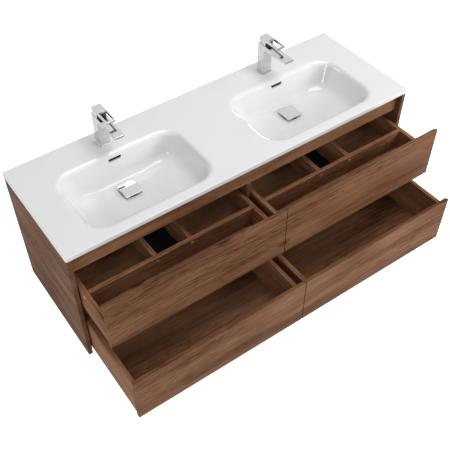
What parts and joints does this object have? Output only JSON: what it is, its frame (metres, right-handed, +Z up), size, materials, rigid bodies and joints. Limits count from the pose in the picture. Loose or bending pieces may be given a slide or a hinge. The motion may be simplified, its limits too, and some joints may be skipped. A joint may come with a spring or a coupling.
{
  "type": "bathroom vanity cabinet",
  "caption": "Wall-hung double vanity with a ceramic twin-basin top, two single-lever mixers, click wastes and four wood drawers with finger-pull fronts.",
  "frame": {"origin": "on the wall plane, at the middle of the upper back rail's rear face", "axes": "+X to the right seen from the front, +Z up, the fronts face -Y and the wall is at +Y"},
  "size_m": [1.404, 0.772, 0.675],
  "materials": {
    "wood": "brown oak-grain laminate, satin",
    "ceramic": "white glaze, glossy",
    "chrome": "polished",
    "steel": "zinc-plated sheet, satin",
    "plastic": "dark grey, satin"
  },
  "bodies": {
    "cabinet": {"countertop": "ceramic", "side_panel_left": "wood", "side_panel_right": "wood", "centre_partition": "wood", "front_top_rail": "wood", "back_rail_upper": "wood", "back_rail_lower": "wood", "bottom_panel": "wood", "wall_hanger_left": "steel", "wall_hanger_right": "steel", "mixer_base_left": "chrome", "mixer_body_left": "chrome", "waste_body_left": "chrome", "waste_nut_left": "plastic", "mixer_base_right": "chrome", "mixer_body_right": "chrome", "waste_body_right": "chrome", "waste_nut_right": "plastic", "upper_left_runner_left": "steel", "upper_left_runner_right": "steel", "upper_right_runner_left": "steel", "upper_right_runner_right": "steel", "lower_left_runner_left": "steel", "lower_left_runner_right": "steel", "lower_right_runner_left": "steel", "lower_right_runner_right": "steel"},
    "hub_left": {"mixer_cartridge_left": "plastic"},
    "lever_left": {"mixer_lever_left": "chrome"},
    "plug_left": {"waste_cap_left": "chrome"},
    "hub_right": {"mixer_cartridge_right": "plastic"},
    "lever_right": {"mixer_lever_right": "chrome"},
    "plug_right": {"waste_cap_right": "chrome"},
    "upper_left_drawer": {"upper_left_drawer_front": "wood", "upper_left_drawer_side_left": "wood", "upper_left_drawer_side_right": "wood", "upper_left_drawer_bottom": "wood", "upper_left_drawer_cross_panel": "wood", "upper_left_drawer_divider_left": "wood", "upper_left_drawer_divider_right": "wood", "upper_left_drawer_back_left": "wood", "upper_left_drawer_back_right": "wood"},
    "upper_right_drawer": {"upper_right_drawer_front": "wood", "upper_right_drawer_side_left": "wood", "upper_right_drawer_side_right": "wood", "upper_right_drawer_bottom": "wood", "upper_right_drawer_cross_panel": "wood", "upper_right_drawer_divider_left": "wood", "upper_right_drawer_divider_right": "wood", "upper_right_drawer_back_left": "wood", "upper_right_drawer_back_right": "wood"},
    "lower_left_drawer": {"lower_left_drawer_front": "wood", "lower_left_drawer_side_left": "wood", "lower_left_drawer_side_right": "wood", "lower_left_drawer_bottom": "wood", "lower_left_drawer_back": "wood"},
    "lower_right_drawer": {"lower_right_drawer_front": "wood", "lower_right_drawer_side_left": "wood", "lower_right_drawer_side_right": "wood", "lower_right_drawer_bottom": "wood", "lower_right_drawer_back": "wood"}
  },
  "joints": [
    {"name": "mixer_left_swivel", "type": "hinge", "parent": "cabinet", "child": "hub_left", "pos_m": [-0.35, -0.062, 0.18], "axis": [0, 0, 1], "range_deg": [-45, 45]},
    {"name": "mixer_left_lift", "type": "hinge", "parent": "hub_left", "child": "lever_left", "pos_m": [-0.35, -0.062, 0.18], "axis": [-1, 0, 0], "range_deg": [0, 22]},
    {"name": "waste_left_press", "type": "slide", "parent": "cabinet", "child": "plug_left", "axis": [0, 0, -1], "range_m": [0, 0.005]},
    {"name": "mixer_right_swivel", "type": "hinge", "parent": "cabinet", "child": "hub_right", "pos_m": [0.35, -0.062, 0.18], "axis": [0, 0, 1], "range_deg": [-45, 45]},
    {"name": "mixer_right_lift", "type": "hinge", "parent": "hub_right", "child": "lever_right", "pos_m": [0.35, -0.062, 0.18], "axis": [-1, 0, 0], "range_deg": [0, 22]},
    {"name": "waste_right_press", "type": "slide", "parent": "cabinet", "child": "plug_right", "axis": [0, 0, -1], "range_m": [0, 0.005]},
    {"name": "upper_left_slide", "type": "slide", "parent": "cabinet", "child": "upper_left_drawer", "axis": [0, -1, 0], "range_m": [-0.186, 0.125]},
    {"name": "upper_right_slide", "type": "slide", "parent": "cabinet", "child": "upper_right_drawer", "axis": [0, -1, 0], "range_m": [-0.186, 0.125]},
    {"name": "lower_left_slide", "type": "slide", "parent": "cabinet", "child": "lower_left_drawer", "axis": [0, -1, 0], "range_m": [-0.311, 0]},
    {"name": "lower_right_slide", "type": "slide", "parent": "cabinet", "child": "lower_right_drawer", "axis": [0, -1, 0], "range_m": [-0.311, 0]}
  ]
}
